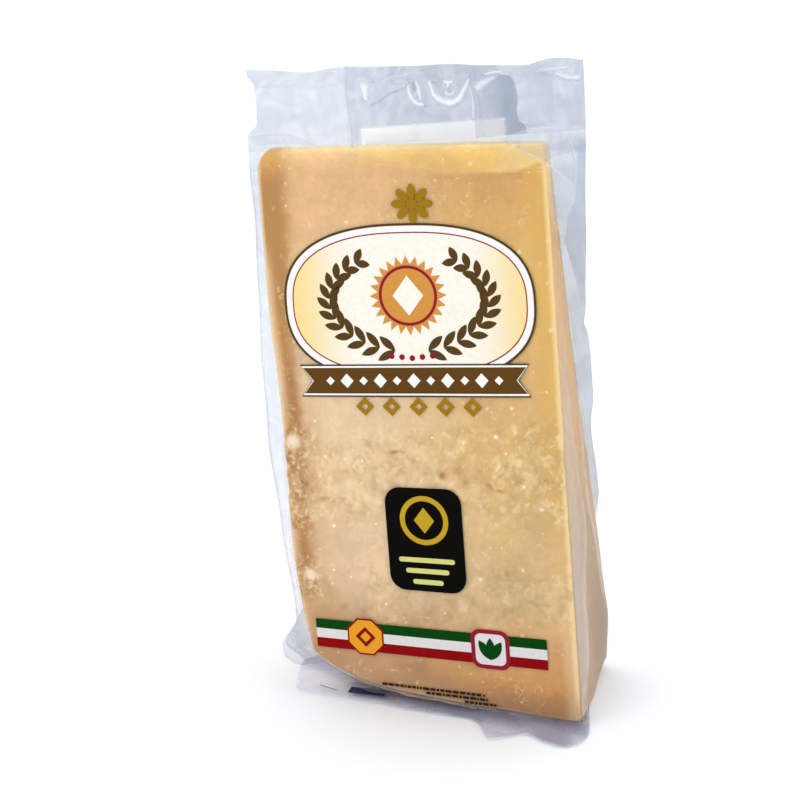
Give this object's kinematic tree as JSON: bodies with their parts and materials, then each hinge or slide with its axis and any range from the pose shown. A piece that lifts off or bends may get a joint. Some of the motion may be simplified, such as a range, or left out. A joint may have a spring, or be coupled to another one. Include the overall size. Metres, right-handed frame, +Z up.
{
  "type": "parmesan chunk",
  "caption": "Wedge of hard grana cheese, standing on its rim and sealed in clear film with a header, side margins and a base flap.",
  "frame": {"origin": "bottom centre of the pack's box, on the surface it stands on", "axes": "+Z up, along the pack's height; +X from the wheel's flat rind to the cut at half height; the printed front cut face looks towards -Y"},
  "size_m": [0.1448, 0.0846, 0.2485],
  "materials": {
    "cheese": "granular hard cheese, straw yellow, browner towards the rind",
    "label": "matt white sticker",
    "film": "clear glossy vacuum film, slightly blue-grey where it is in layers",
    "print": "flat colour printed on the film"
  },
  "bodies": {
    "root": {"sealed_pack": "cheese", "back_label": "label"}
  },
  "joints": []
}
